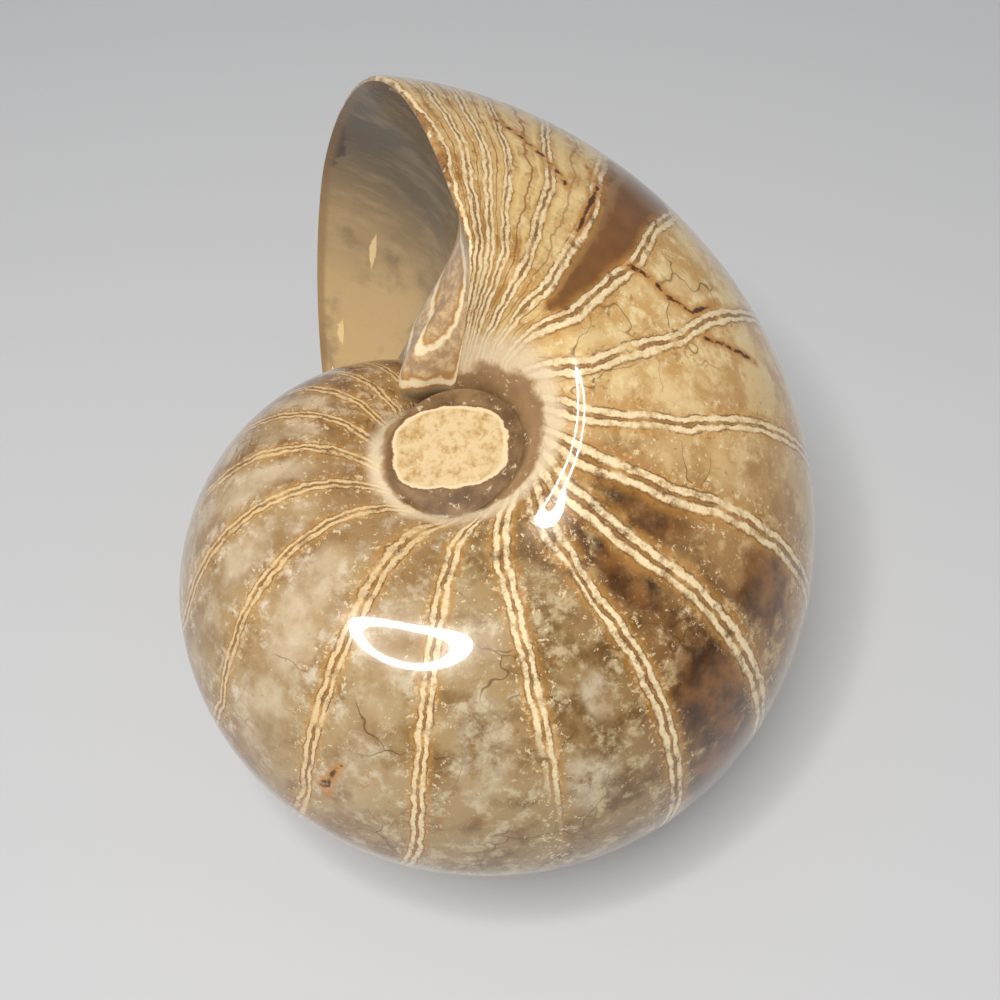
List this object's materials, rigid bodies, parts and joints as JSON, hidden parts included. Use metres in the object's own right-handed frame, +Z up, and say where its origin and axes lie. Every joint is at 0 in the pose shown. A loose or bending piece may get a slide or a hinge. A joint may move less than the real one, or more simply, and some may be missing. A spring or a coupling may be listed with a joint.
{
  "type": "polished nautiloid fossil",
  "caption": "Polished stone fossil of a coiled nautiloid shell, with a hollow mouth face, a filled umbilicus on each side and a small worn flat it rests on.",
  "frame": {"origin": "centre of the bounding box, at the level of the flats the fossil rests on", "axes": "+Z up from the surface it lies on, +Y towards the mouth's outer tip, +X away from the mouth, across the coil"},
  "size_m": [0.0492, 0.0616, 0.0498],
  "materials": {
    "polished_fossil_stone": "polished calcite, cream and grey-brown, with gold and cream suture lines"
  },
  "bodies": {
    "root": {"nautiloid_fossil": "polished_fossil_stone"}
  },
  "joints": []
}
